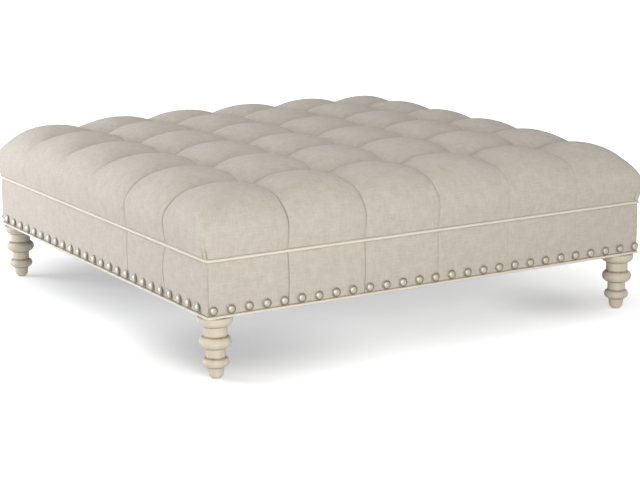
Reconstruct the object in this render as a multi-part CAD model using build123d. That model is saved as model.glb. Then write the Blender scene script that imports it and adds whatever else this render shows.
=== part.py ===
"""Square ottoman coffee table: a biscuit-tufted cushion on an upholstered apron and four turned legs.

Millimetres, +Z up. The origin is on the floor under the middle of the table, and the front faces -Y.
From the floor up: glides, turned legs, dust cover, lower welt, padded apron round a timber frame with
a row of nail heads, upper welt, plywood deck, foam blocks, and the tufted cover with its fibre filling.
"""

import os
from math import cos, radians, sin, sqrt

from build123d import *

# Plan
apron_width = 1268.0  # over the flat faces of the apron, the same both ways
apron_thickness = 6.0  # fabric over its wadding
apron_corner_radius = 10.0
puffs_per_side = 6
edge_puff_extra = 4.0  # the outermost puffs are this much wider than the others

# Heights
rail_height = 125.5
deck_thickness = 12.0
cover_height = 167.5  # foot of the tufted cover to the top of the middle puffs

# Welts: a cord in a folded strip of fabric, whose tape is stapled to the frame
welt_diameter = 6.4
welt_tape_thickness = 1.0
welt_tape_width = 10.0
welt_tape_lip = 0.3  # the tape stands this far past the level of the cord
welt_stand_out = 1.0  # the cord stands this far outside the flat face of the apron

# Timber frame
rail_thickness = 20.0
bearer_thickness = 25.0
bearer_height = 70.0
corner_block_width = 82.0
corner_block_height = 60.0
corner_block_chamfer = 34.0
dust_cover_inset = 12.0  # inside the outer face of the rails

# Turned legs, from the floor up: the height of each turning and its radius
glide_thickness = 4.0
glide_radius = 11.0
foot_height = 24.0
foot_bottom_radius = 17.0
foot_top_radius = 20.0
foot_rounding = 5.0
lower_ring_height = 23.0
lower_ring_radius = 31.5
lower_neck_height = 22.5
lower_neck_radius = 23.0
upper_ring_height = 28.5
upper_ring_radius = 38.0
upper_neck_height = 24.0
upper_neck_radius = 28.0
collar_step = 1.5  # the collar starts this far outside the upper neck
collar_rise = 14.0
collar_band = 10.0  # the upright band above the rounding of the collar
collar_radius = 41.5

# Leg fixings: a hanger bolt in the leg, and a T-nut let into the corner block
bolt_radius = 4.0
bolt_in_leg = 45.0
bolt_clearance = 0.2
nut_flange_radius = 11.0
nut_flange_thickness = 1.6
nut_flange_edge = 3.0  # from the flange to the inner face of the rails
nut_barrel_radius = 5.5
nut_barrel_length = 14.0
bolt_past_nut = 8.0

# Nail heads
nail_radius = 11.5
nail_rim_height = 1.2
nail_shoulder_radius = 9.0
nail_shoulder_height = 4.2
nail_crown_radius = 4.5
nail_height = 6.0
nail_sides = 8
nail_edge_gap = 1.8  # from a head to the lower edge of the apron
front_nails = 27
front_nail_margin = 15.0  # centre of the first nail to the corner of the apron
side_nails = 25
side_nail_margin = 48.0

# Seams down the apron
apron_seam_width = 3.0
apron_seam_depth = 1.8

# Tufted cover. Reaches are from the flat face of the apron
crown_rise = 30.0  # the middle puffs stand this far above the crown at the sides
crown_power = 3.2  # how flat the middle is: 2 is an even curve, and more is flatter
seam_drop = 20.0  # the middle of a seam; a tuft, where two seams cross, lies twice as deep
foot_reach = -1.5
foot_valley = 1.5  # how far a seam is drawn in, behind the puffs beside it
foot_corner_radius = 7.0
swell_drop = 69.0  # the widest level of the side, below the crown at the sides
swell_reach = 5.5
swell_valley = 6.0
swell_corner_radius = 22.0
shoulder_drop = 34.0
shoulder_reach = -9.0
shoulder_valley = 11.0
shoulder_corner_radius = 40.0
rim_drop = 7.0
rim_reach = -47.0
rim_valley = 14.0
rim_corner_radius = 58.0
edge_top_rise = 14.0  # the tops of the outermost puffs
edge_top_reach = -106.0
edge_top_corner_radius = 60.0
crown_reach = -180.0  # the outer shape is closed this far in, above the puffs
crown_corner_radius = 30.0
crown_margin = 5.0
corner_draw = 2.5  # how far the side is drawn in where it meets a corner
cover_overlap = 12.0  # the puffs are drawn this far past the widest level, then cut back

# Foam blocks, rounded at the four outer corners, and the ties in the gaps between them
tuft_fill = 6.5  # fibre between the foam and the level of a tuft at the sides
foam_gap = 4.0
foam_margin = 34.0  # inside the flat face of the apron
foam_corner_radius = 50.0
tie_width = 2.4
tie_clearance = 0.3
tie_washer_width = 14.0
tie_washer_thickness = 1.5

# Levels and half widths that follow from the sizes above
apron_half = apron_width / 2
rail_outer = apron_half - apron_thickness
rail_inner = rail_outer - rail_thickness
frame_corner_radius = apron_corner_radius - apron_thickness
foot_top = glide_thickness + foot_height
lower_ring_top = foot_top + lower_ring_height
upper_ring_bottom = lower_ring_top + lower_neck_height
upper_ring_top = upper_ring_bottom + upper_ring_height
collar_bottom = upper_ring_top + upper_neck_height
collar_shoulder = collar_bottom + collar_rise
leg_height = collar_shoulder + collar_band
rail_bottom = leg_height + welt_tape_thickness
rail_top = rail_bottom + rail_height
deck_top = rail_top + deck_thickness
cover_foot = deck_top + welt_tape_thickness
cover_top = cover_foot + cover_height
side_crown = cover_top - crown_rise
foam_half = apron_half - foam_margin
foam_top = side_crown - 2 * seam_drop - tuft_fill
welt_radius = welt_diameter / 2
welt_centre = apron_half + welt_stand_out - welt_radius
welt_corner_radius = frame_corner_radius + welt_centre - rail_outer
lower_welt_level = leg_height + welt_tape_lip + welt_radius
upper_welt_level = cover_foot - welt_tape_lip - welt_radius
panel_bottom = lower_welt_level + welt_radius
panel_top = upper_welt_level - welt_radius
leg_place = rail_inner - nut_flange_edge - nut_flange_radius
bolt_above_leg = welt_tape_thickness + nut_flange_thickness + nut_barrel_length + bolt_past_nut
seam_pitch = (apron_width - 2 * edge_puff_extra) / puffs_per_side
seams = [(k - puffs_per_side / 2) * seam_pitch for k in range(1, puffs_per_side)]
side_names = ("front", "right", "back", "left")
corner_names = ("front_left", "front_right", "back_right", "back_left")
sides_total = len(side_names)
quarter_turn = 90.0
standing = (Align.CENTER, Align.CENTER, Align.MIN)
diagonal = sqrt(0.5)


def around(shape, side):
    """The same piece on another side of the table, counted anticlockwise from the front."""
    return shape.rotate(Axis.Z, side * quarter_turn)


def leg_places():
    """The four leg axes, from front left anticlockwise."""
    return [(-leg_place, -leg_place), (leg_place, -leg_place), (leg_place, leg_place), (-leg_place, leg_place)]


def at_legs(shape):
    """A copy of a fixing on each of the four leg axes."""
    return [Pos(x, y, 0) * shape for x, y in leg_places()]


def rod(radius, bottom, top):
    """An upright cylinder on the Z axis between two levels."""
    return Pos(0, 0, bottom) * Cylinder(radius, top - bottom, align=standing)


def plate(half, bottom, top, corner_radius):
    """A square plate about the Z axis with rounded corners."""
    outline = RectangleRounded(2 * half, 2 * half, corner_radius)
    return Pos(0, 0, bottom) * extrude(outline, top - bottom)


def slab(x0, x1, y0, y1, bottom, top):
    """A plain block between its limits."""
    block = Box(x1 - x0, y1 - y0, top - bottom, align=(Align.MIN, Align.MIN, Align.MIN))
    return Pos(x0, y0, bottom) * block


def save(name, *shapes):
    """Writes one named piece, or a group of like pieces, and prints its volume."""
    piece = shapes[0] if len(shapes) == 1 else Compound(children=list(shapes))
    piece.label = name
    export_step(piece, f"parts/{name}.step")
    print(f"{name}: {len(piece.solids())} solid(s), {piece.volume / 1000:.1f} cm3")


def turned_leg():
    """One leg, revolved: a plain foot, two rings with necks between them, and a rounded collar."""
    foot_corner = (foot_bottom_radius - foot_rounding, glide_thickness)
    foot_side = (foot_bottom_radius, glide_thickness + foot_rounding)
    foot_bend = (
        foot_bottom_radius - foot_rounding * (1 - diagonal),
        glide_thickness + foot_rounding * (1 - diagonal),
    )
    lower_middle = (lower_ring_radius, (foot_top + lower_ring_top) / 2)
    upper_middle = (upper_ring_radius, (upper_ring_bottom + upper_ring_top) / 2)
    collar_foot = (upper_neck_radius + collar_step, collar_bottom)
    with BuildSketch(Plane.XZ) as half:
        with BuildLine():
            Polyline((0, leg_height), (0, glide_thickness), foot_corner)
            ThreePointArc(foot_corner, foot_bend, foot_side)
            Line(foot_side, (foot_top_radius, foot_top))
            ThreePointArc((foot_top_radius, foot_top), lower_middle, (lower_neck_radius, lower_ring_top))
            Line((lower_neck_radius, lower_ring_top), (lower_neck_radius, upper_ring_bottom))
            ThreePointArc(
                (lower_neck_radius, upper_ring_bottom), upper_middle, (upper_neck_radius, upper_ring_top)
            )
            Polyline((upper_neck_radius, upper_ring_top), (upper_neck_radius, collar_bottom), collar_foot)
            TangentArc((collar_radius, collar_shoulder), collar_foot, tangent=(0, -1))
            Polyline((collar_radius, collar_shoulder), (collar_radius, leg_height), (0, leg_height))
        make_face()
    leg = revolve(half.sketch, Axis.Z)
    bolt_hole = rod(bolt_radius + bolt_clearance, leg_height - bolt_in_leg, leg_height)
    return (leg - bolt_hole).solid()


def glide():
    """A round nylon glide under a foot."""
    return rod(glide_radius, 0, glide_thickness)


def hanger_bolt():
    """The bolt that stands out of a leg and screws into its T-nut."""
    return rod(bolt_radius, leg_height - bolt_in_leg, leg_height + bolt_above_leg)


def nut_hole(clearance):
    """The stepped outline of a T-nut, widened by a clearance."""
    flange_top = rail_bottom + nut_flange_thickness
    flange = rod(nut_flange_radius + clearance, rail_bottom, flange_top)
    barrel = rod(nut_barrel_radius + clearance, rail_bottom, flange_top + nut_barrel_length)
    return flange + barrel


def t_nut():
    """A T-nut with its flange flush with the underside of the corner block."""
    return nut_hole(0) - rod(bolt_radius + bolt_clearance, rail_bottom, leg_height + bolt_above_leg)


def corner_block():
    """A block in the front left corner of the frame, with its inner corner cut off."""
    outer = -rail_inner
    inner = outer + corner_block_width
    step = inner - corner_block_chamfer
    with BuildSketch() as plan:
        with BuildLine():
            Polyline((outer, outer), (inner, outer), (inner, step), (step, inner), (outer, inner), close=True)
        make_face()
    block = Pos(0, 0, rail_bottom) * extrude(plan.sketch, corner_block_height)
    bolt_hole = rod(bolt_radius + bolt_clearance, rail_bottom, rail_bottom + corner_block_height)
    return block - Pos(-leg_place, -leg_place, 0) * (nut_hole(bolt_clearance) + bolt_hole)


def long_rail():
    """The front rail, over the full width, with its two outer corners rounded."""
    rail = slab(-rail_outer, rail_outer, -rail_outer, -rail_inner, rail_bottom, rail_top)
    corners = rail.edges().filter_by(Axis.Z).group_by(Axis.Y)[0]
    return fillet(corners, frame_corner_radius)


def short_rail():
    """A side rail, drawn at the front, butted between the two long ones."""
    return slab(-rail_inner, rail_inner, -rail_outer, -rail_inner, rail_bottom, rail_top)


def deck_bearer(place):
    """A bearer under the deck from the front rail to the back rail."""
    x0 = place - bearer_thickness / 2
    return slab(x0, x0 + bearer_thickness, -rail_inner, rail_inner, rail_top - bearer_height, rail_top)


def deck_board():
    """The plywood deck, with a square hole for each tie."""
    hole_half = tie_width / 2 + tie_clearance
    board = plate(rail_outer, rail_top, deck_top, frame_corner_radius)
    holes = [
        slab(x - hole_half, x + hole_half, y - hole_half, y + hole_half, rail_top, deck_top)
        for x in seams
        for y in seams
    ]
    return board.cut(*holes)


def dust_cover():
    """The thin cloth under the frame, with a hole for each leg bolt."""
    cloth = plate(rail_outer - dust_cover_inset, leg_height, rail_bottom, frame_corner_radius)
    return cloth.cut(*at_legs(rod(bolt_radius + bolt_clearance, leg_height, rail_bottom)))


def welt(cord_level, tape_bottom):
    """A welt all round: the corded edge as one ring, and its tape as a strip on each side."""
    path = Pos(0, 0, cord_level) * RectangleRounded(2 * welt_centre, 2 * welt_centre, welt_corner_radius).wire()
    start = Plane(origin=path @ 0, z_dir=path % 0)
    cord = sweep(start * Circle(welt_radius), path=path)
    reach = rail_outer - frame_corner_radius
    tape_edge = welt_centre - welt_radius / 2
    tape_top = tape_bottom + welt_tape_thickness
    tape = slab(-reach, reach, -tape_edge, welt_tape_width - rail_outer, tape_bottom, tape_top)
    return cord.fuse(*[around(tape, side) for side in range(sides_total)]).solid()


def apron_panel():
    """The front panel of the apron, mitred at its ends, with a shallow seam under each seam of the cover."""
    centre = apron_half - apron_corner_radius
    outer_mitre = centre + apron_corner_radius * diagonal
    inner_mitre = centre + frame_corner_radius * diagonal
    outer_bend = radians(quarter_turn * 3 / 4)
    bend_x = centre + apron_corner_radius * cos(outer_bend)
    bend_y = centre + apron_corner_radius * sin(outer_bend)
    inner_x = centre + frame_corner_radius * cos(outer_bend)
    inner_y = centre + frame_corner_radius * sin(outer_bend)
    face = [(-centre, -apron_half)]
    for x in seams:
        face += [
            (x - apron_seam_width / 2, -apron_half),
            (x, apron_seam_depth - apron_half),
            (x + apron_seam_width / 2, -apron_half),
        ]
    face.append((centre, -apron_half))
    with BuildSketch() as plan:
        with BuildLine():
            Polyline(*face)
            ThreePointArc((centre, -apron_half), (bend_x, -bend_y), (outer_mitre, -outer_mitre))
            Line((outer_mitre, -outer_mitre), (inner_mitre, -inner_mitre))
            ThreePointArc((inner_mitre, -inner_mitre), (inner_x, -inner_y), (centre, -rail_outer))
            Line((centre, -rail_outer), (-centre, -rail_outer))
            ThreePointArc((-centre, -rail_outer), (-inner_x, -inner_y), (-inner_mitre, -inner_mitre))
            Line((-inner_mitre, -inner_mitre), (-outer_mitre, -outer_mitre))
            ThreePointArc((-outer_mitre, -outer_mitre), (-bend_x, -bend_y), (-centre, -apron_half))
        make_face()
    return Pos(0, 0, panel_bottom) * extrude(plan.sketch, panel_top - panel_bottom)


def nail_head():
    """One domed nail head, lying on the plane Z = 0."""
    levels = (
        (0, nail_radius),
        (nail_rim_height, nail_radius),
        (nail_shoulder_height, nail_shoulder_radius),
        (nail_height, nail_crown_radius),
    )
    sections = [Pos(0, 0, z) * RegularPolygon(radius, nail_sides) for z, radius in levels]
    return loft(sections, ruled=True)


def nail_row(count, margin):
    """The nail heads on the front of the apron, evenly spaced between the two outermost ones."""
    level = panel_bottom + nail_edge_gap + nail_radius
    pitch = (apron_width - 2 * margin) / (count - 1)
    upright = Rot(quarter_turn, 0, 0) * Rot(0, 0, quarter_turn / nail_sides * 2) * nail_head()
    return [Pos(margin - apron_half + k * pitch, -apron_half, level) * upright for k in range(count)]


def foam_outline():
    """The foam over the whole deck, before it is cut into blocks."""
    return plate(foam_half, deck_top, foam_top, foam_corner_radius)


def foam_blocks():
    """A foam block under each puff, with a gap under each seam for the ties."""
    half = foam_gap / 2
    lengthwise = [slab(x - half, x + half, -foam_half, foam_half, deck_top, foam_top) for x in seams]
    crosswise = [slab(-foam_half, foam_half, y - half, y + half, deck_top, foam_top) for y in seams]
    return foam_outline().cut(*lengthwise, *crosswise).solids()


def tuft_tie():
    """A tie from a tuft down through the deck, with its washer underneath."""
    half = tie_width / 2
    washer_half = tie_washer_width / 2
    tie = slab(-half, half, -half, half, rail_top - tie_washer_thickness, foam_top)
    washer_bottom = rail_top - tie_washer_thickness
    return tie + slab(-washer_half, washer_half, -washer_half, washer_half, washer_bottom, rail_top)


def crown_level(x, y):
    """The level of the puffs at a place: nearly flat over the middle, and lower towards the sides."""
    fall_x = min(abs(x / apron_half), 1) ** crown_power
    fall_y = min(abs(y / apron_half), 1) ** crown_power
    return side_crown + crown_rise * (1 - fall_x) * (1 - fall_y)


def arched_section(y, drop, stops):
    """An upright section across the cushion at y, lowered by a drop: a flat bottom and an arc over each puff."""
    limit = stops[-1]
    seam_points = [(x, y, crown_level(x, y) - drop - seam_drop) for x in stops]
    edges = [
        Line((-limit, y, cover_foot), (limit, y, cover_foot)),
        Line((limit, y, cover_foot), seam_points[-1]),
    ]
    for right, left in zip(seam_points[:0:-1], seam_points[-2::-1]):
        middle = (right[0] + left[0]) / 2
        edges.append(ThreePointArc(right, (middle, y, crown_level(middle, y) - drop), left))
    edges.append(Line(seam_points[0], (-limit, y, cover_foot)))
    return Wire(edges)


def puffed_block():
    """The tufted top before its sides are shaped: one loft for each row of puffs."""
    limit = apron_half + swell_reach + cover_overlap
    stops = [-limit] + seams + [limit]
    rows = []
    for near, far in zip(stops[:-1], stops[1:]):
        sections = [
            arched_section(near, seam_drop, stops),
            arched_section((near + far) / 2, 0, stops),
            arched_section(far, seam_drop, stops),
        ]
        rows.append(Solid.make_loft(sections))
    return rows[0].fuse(*rows[1:])


def scalloped_outline(level, reach, valley, corner_radius):
    """A level section of the sides: an arc to each puff, drawn in at the seams, and a round corner."""
    half = apron_half + reach
    start = half - corner_radius
    stops = [-start] + seams + [start]
    depths = [corner_draw] + [valley] * len(seams) + [corner_draw]
    corner_bend = half - corner_draw - corner_radius * (1 - diagonal)
    side = [
        ThreePointArc((a, da - half, level), ((a + b) / 2, -half, level), (b, db - half, level))
        for a, b, da, db in zip(stops[:-1], stops[1:], depths[:-1], depths[1:])
    ]
    side.append(
        ThreePointArc(
            (start, corner_draw - half, level),
            (corner_bend, -corner_bend, level),
            (half - corner_draw, -start, level),
        )
    )
    return Wire([around(arc, turn) for turn in range(sides_total) for arc in side])


def cover_envelope():
    """The outer shape of the cover: drawn in at its foot, swollen at mid height and rounded over on top."""
    swell_level = side_crown - swell_drop
    waist = (
        (cover_foot + swell_level) / 2,
        (foot_reach + swell_reach) / 2,
        (foot_valley + swell_valley) / 2,
        (foot_corner_radius + swell_corner_radius) / 2,
    )
    levels = [
        (cover_foot, foot_reach, foot_valley, foot_corner_radius),
        waist,
        (swell_level, swell_reach, swell_valley, swell_corner_radius),
        (side_crown - shoulder_drop, shoulder_reach, shoulder_valley, shoulder_corner_radius),
        (side_crown - rim_drop, rim_reach, rim_valley, rim_corner_radius),
        (side_crown + edge_top_rise, edge_top_reach, rim_valley, edge_top_corner_radius),
        (cover_top + crown_margin, crown_reach, rim_valley, crown_corner_radius),
    ]
    return Solid.make_loft([scalloped_outline(*level) for level in levels])


def tufted_cover():
    """The sewn cover with its fibre filling, hollow over the foam blocks."""
    cushion = cover_envelope().intersect(puffed_block())[0]
    return cushion.cut(foam_outline())


if __name__ == "__main__":
    os.makedirs("parts", exist_ok=True)

    leg = turned_leg()
    for corner, (x, y) in zip(corner_names, leg_places()):
        save(f"leg_{corner}", Pos(x, y, 0) * leg)
    save("leg_glides", *at_legs(glide()))
    save("hanger_bolts", *at_legs(hanger_bolt()))
    save("t_nuts", *at_legs(t_nut()))

    block = corner_block()
    save("corner_blocks", *[around(block, turn) for turn in range(sides_total)])
    for turn, name in enumerate(side_names):
        rail = long_rail() if turn % 2 == 0 else short_rail()
        save(f"{name}_rail", around(rail, turn))
    bearer_places = [(a + b) / 2 for a, b in zip(seams[:-1], seams[1:])]
    for number, place in enumerate(bearer_places, start=1):
        save(f"deck_bearer_{number}", deck_bearer(place))
    save("deck_board", deck_board())
    save("dust_cover", dust_cover())

    save("lower_welt", welt(lower_welt_level, leg_height))
    save("upper_welt", welt(upper_welt_level, deck_top))
    panel = apron_panel()
    nails = {"front": (front_nails, front_nail_margin), "right": (side_nails, side_nail_margin)}
    nails["back"] = nails["front"]
    nails["left"] = nails["right"]
    for turn, name in enumerate(side_names):
        save(f"apron_{name}", around(panel, turn))
        save(f"nails_{name}", *[around(nail, turn) for nail in nail_row(*nails[name])])

    save("foam_blocks", *foam_blocks())
    save("tuft_ties", *[Pos(x, y, 0) * tuft_tie() for x in seams for y in seams])
    save("tufted_top", tufted_cover())
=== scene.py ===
"""Square tufted ottoman coffee table: the upholstery, the trim, the finishes and a plain studio.

Metres, +Z up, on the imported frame. The near corner in the studio view is the front left one, at -X -Y.
"""

import math
import random

import bpy
import numpy as np
from bpy.props import FloatProperty, FloatVectorProperty, IntProperty, PointerProperty
from bpy.types import Operator, Panel, PropertyGroup
from mathutils import Matrix, Vector


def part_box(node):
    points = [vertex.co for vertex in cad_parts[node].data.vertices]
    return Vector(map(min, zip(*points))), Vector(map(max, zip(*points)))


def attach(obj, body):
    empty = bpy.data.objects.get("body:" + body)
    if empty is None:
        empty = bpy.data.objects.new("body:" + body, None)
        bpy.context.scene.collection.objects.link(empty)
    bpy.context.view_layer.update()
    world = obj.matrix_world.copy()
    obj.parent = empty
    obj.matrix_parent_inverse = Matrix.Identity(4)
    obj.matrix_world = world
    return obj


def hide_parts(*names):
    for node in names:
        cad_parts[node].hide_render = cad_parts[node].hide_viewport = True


bl_info = {
    "name": "Tufted Ottoman Table",
    "version": (1, 0, 0),
    "blender": (4, 5, 0),
    "location": "View3D > Sidebar > Ottoman",
    "description": "Dresses a square ottoman table in tufted linen, welts, nail heads and washed wood",
    "category": "Object",
}

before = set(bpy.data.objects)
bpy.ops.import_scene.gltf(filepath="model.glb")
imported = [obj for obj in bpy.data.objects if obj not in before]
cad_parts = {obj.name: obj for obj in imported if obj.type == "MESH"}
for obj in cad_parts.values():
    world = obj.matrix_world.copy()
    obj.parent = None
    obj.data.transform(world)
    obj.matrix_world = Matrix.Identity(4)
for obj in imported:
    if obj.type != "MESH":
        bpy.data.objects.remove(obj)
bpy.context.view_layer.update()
BODY = "root"
SIDES = ("front", "right", "back", "left")
CORNERS = ("front_left", "front_right", "back_right", "back_left")
COVER_LOW, COVER_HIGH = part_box("tufted_top")
APRON_LOW, APRON_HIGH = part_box("apron_front")
NAILS_LOW, NAILS_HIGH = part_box("nails_front")
_, SIDE_NAILS_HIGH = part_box("nails_left")
_, UPPER_WELT_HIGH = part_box("upper_welt")
LOWER_WELT_LOW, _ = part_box("lower_welt")
DUST_LOW, DUST_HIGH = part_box("dust_cover")
RAIL_LOW, RAIL_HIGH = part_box("front_rail")


def length(name, description, default):
    """A size in metres that a user can change."""
    return FloatProperty(name=name, description=description, default=default, unit="LENGTH", precision=4)


def factor(name, description, default):
    """A plain number that a user can change."""
    return FloatProperty(name=name, description=description, default=default)


def shade(name, description, default):
    """A colour that a user can change."""
    return FloatVectorProperty(
        name=name, description=description, default=default, subtype="COLOR", size=3, min=0, max=1
    )


def srgb(red, green, blue):
    """A colour on the usual scale of 0 to 255 as Blender's linear values."""
    values = [c / 255 for c in (red, green, blue)]
    return tuple(c / 12.92 if c <= 0.04045 else ((c + 0.055) / 1.055) ** 2.4 for c in values)


# The seams of each side from its left end: how far its middle bows and its foot strays, and how strongly its
# crease and its painted shade show
SIDE_SEAMS = {
    "front": ((0.002, 0, 1), (0.001, 0.001, 0.8), (0, 0, 0.55), (-0.001, 0, 0.14), (0.001, 0, 0.1)),
    "right": ((0.001, 0, 0.5), (-0.001, 0.001, 0.5), (0, 0.001, 0.5), (0.001, 0, 0.5), (0, 0, 0.5)),
    "back": ((0, 0.001, 0.5), (0.001, 0, 0.5), (-0.001, 0, 0.5), (0, 0, 0.5), (0.001, -0.001, 0.5)),
    "left": ((0, 0, 0.1), (0.001, 0, 0.12), (0, 0.001, 0.16), (-0.003, -0.001, 0.7), (-0.017, -0.004, 1)),
}


class CoverSettings(PropertyGroup):
    """The tufted cover."""

    puffs: IntProperty(name="Puffs", description="Puffs along each side", default=6, min=2)
    seam_pitch: length("Seam spacing", "From one seam to the next", 0.210)
    swell_level: length("Swell height", "Height of the widest level of the side", 0.350)
    edge_round: length("Edge rounding", "How far in from the side the top starts to round over", 0.110)
    crown_rise: length("Crown rise", "How much higher the middle puffs are than those at the sides", 0.0295)
    crown_power: factor("Crown flatness", "Higher is flatter", 3.2)
    far_crown_power: factor("Far flatness", "The same towards the back and right", 4.6)
    side_swell: length("Side swell", "How far the side stands out past the line of the apron", 0.0005)
    corner_slope: factor("Corner slope", "0 is a round corner, more slopes off", 0.36)
    foot_draw: length("Foot draw", "How far the side is drawn in at its foot", 0.0075)
    seam_depth: length("Seam depth", "How deep a seam lies below the puffs", 0.0215)
    crease_depth: length("Crease depth", "How deep the cloth is pinched along a seam", 0.0036)
    crease_width: length("Crease width", "Half the width of that pinch", 0.0013)
    tuft_pull: length("Tuft pull", "How much deeper a tuft is drawn than the seams that meet there", 0.009)
    tuft_width: length("Tuft width", "How far round a tuft the cloth is drawn down", 0.034)
    # Near a tuft the crease is deeper and its painted shade stronger
    tuft_mark: length("Tuft mark", "How far from a tuft its darker fold shows", 0.025)
    puff_power: factor("Puff shape", "2 is a round puff, and more is fuller", 2.3)
    spacing: length("Grid spacing", "Spacing of the mesh between the seams", 0.014)
    pressure: factor("Filling pressure", "How hard the filling pushes the cloth out", 4.0)
    slack: factor("Cloth slack", "How much larger the cloth is cut than its form", 0.006)
    give: length("Cloth give", "The most that a point of the cloth may move as it swells", 0.005)


class TrimSettings(PropertyGroup):
    """The apron, the welts and the nail heads."""

    apron_puff: length("Apron padding", "How far the apron swells between its edges", 0.0012)
    apron_seam_depth: length("Apron seam depth", "Depth of the seams down the apron", 0.0036)
    welt_diameter: length("Welt diameter", "Thickness of the corded welts", 0.0064)
    welt_corner: length("Welt corner", "Radius of a welt's own line at the corners", 0.0078)
    nail_radius: length("Nail radius", "Radius of a nail head", 0.0115)
    nail_height: length("Nail height", "How far a nail head stands out", 0.0042)
    front_nails: IntProperty(name="Front nails", description="Nail heads on the front and back", default=27)
    side_nails: IntProperty(name="Side nails", description="Nail heads on the left and right", default=25)


class FinishSettings(PropertyGroup):
    """The colours of the finishes."""

    linen: shade("Linen", "Cloth of the cover and the apron", srgb(217, 208, 195))
    linen_slub: shade("Linen slubs", "Thick pale threads in the linen", srgb(227, 219, 207))
    # Painted shade for the folds of the seams
    linen_seam_shade: shade("Linen in the seams", "Linen in the folds of its seams", srgb(168, 157, 140))
    welt: shade("Welt", "Cloth of the welts", srgb(245, 238, 224))
    wood: shade("Washed wood", "Raised parts of the turned legs", srgb(226, 216, 196))
    # Painted shade in the grooves of the turning
    wood_groove_shade: shade("Wash in the grooves", "Darker wash left in the legs' grooves", srgb(146, 127, 94))
    nickel: shade("Nickel", "Crowns of the nail heads", srgb(182, 175, 161))
    # Dulled metal and painted shade at the edge and in the groove of the nail heads
    patina_and_shade: shade("Patina", "Dulled metal round the edge of the nail heads", srgb(86, 78, 62))


class StudioSettings(PropertyGroup):
    """The camera and the light."""

    lens: factor("Lens", "Focal length on a 36 mm sensor, in mm", 101.93)
    sky: factor("Surrounding light", "Level of the even light all round", 0.3)
    left: factor("Left light", "Power of the light on the left, in watts", 69)
    corner: factor("Corner light", "Power of the light at the front left, in watts", 8)
    front: factor("Front light", "Power of the light in front, in watts", 73)
    above: factor("Overhead light", "Power of the light overhead, in watts", 19)


# The name of the attribute that marks painted shade in the folds of a seam, and patina with painted shade at
# the edge and groove of a nail head, from 0 to 1
SHADE_AND_PATINA_MARK = "fold"

# Node trees


def add_node(tree, kind, inputs=None, **settings):
    """Adds a shader node, sets its options, and links or fills its inputs."""
    node = tree.nodes.new("ShaderNode" + kind)
    for name, value in settings.items():
        setattr(node, name, value)
    for name, value in (inputs or {}).items():
        if isinstance(value, bpy.types.NodeSocket):
            tree.links.new(value, node.inputs[name])
        else:
            node.inputs[name].default_value = value
    return node


def math_node(tree, operation, *values):
    """The result of one Math node."""
    return add_node(tree, "Math", dict(enumerate(values)), operation=operation).outputs[0]


def scaled_by(tree, vector, x, y, z):
    """A vector with its three parts scaled."""
    return add_node(tree, "Mapping", {"Vector": vector, "Scale": (x, y, z)}).outputs["Vector"]


def noise_of(tree, vector, scale, detail=2.0, roughness=0.5):
    """Noise from 0 to 1 at a vector."""
    settings = {"Vector": vector, "Scale": scale, "Detail": detail, "Roughness": roughness}
    return add_node(tree, "TexNoise", settings).outputs["Fac"]


def stretch(tree, value, low, high, to_low=0.0, to_high=1.0):
    """A value mapped smoothly from one range to another."""
    inputs = {"Value": value, "From Min": low, "From Max": high, "To Min": to_low, "To Max": to_high}
    return add_node(tree, "MapRange", inputs, interpolation_type="SMOOTHSTEP").outputs["Result"]


def blend_colours(tree, share, first, second):
    """Two colours mixed by a share."""
    node = add_node(tree, "Mix", {"Factor": share}, data_type="RGBA")
    for socket, value in ((node.inputs[6], first), (node.inputs[7], second)):
        if isinstance(value, bpy.types.NodeSocket):
            tree.links.new(value, socket)
        else:
            socket.default_value = (*value, 1.0)
    return node.outputs[2]


def start_group(name, *inputs):
    """A new node group with a vector, two colours and some numbers, and the nodes that hold its sockets."""
    tree = bpy.data.node_groups.new(name, "ShaderNodeTree")
    kinds = ["Vector", "Color", "Color"] + ["Float"] * (len(inputs) - 2)
    for label, kind in zip(("Vector", *inputs), kinds):
        tree.interface.new_socket(name=label, in_out="INPUT", socket_type="NodeSocket" + kind)
    for label, kind in (("Colour", "Color"), ("Height", "Float"), ("Roughness", "Float")):
        tree.interface.new_socket(name=label, in_out="OUTPUT", socket_type="NodeSocket" + kind)
    return tree, tree.nodes.new("NodeGroupInput").outputs, tree.nodes.new("NodeGroupOutput").inputs


# The cloth's streaks, in cells per metre along and across it, and its patches: scale, detail and roughness
LONG_STREAKS = (330, 34, 1)
CROSS_STREAKS = (30, 300, 1)
CLOTH_PATCHES = (42.0, 5.0, 0.68)
# How much the patches count beside the streaks, and the mean of the sum
PATCH_WEIGHT = 1.6
PATTERN_MEAN = 1.8


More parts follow.
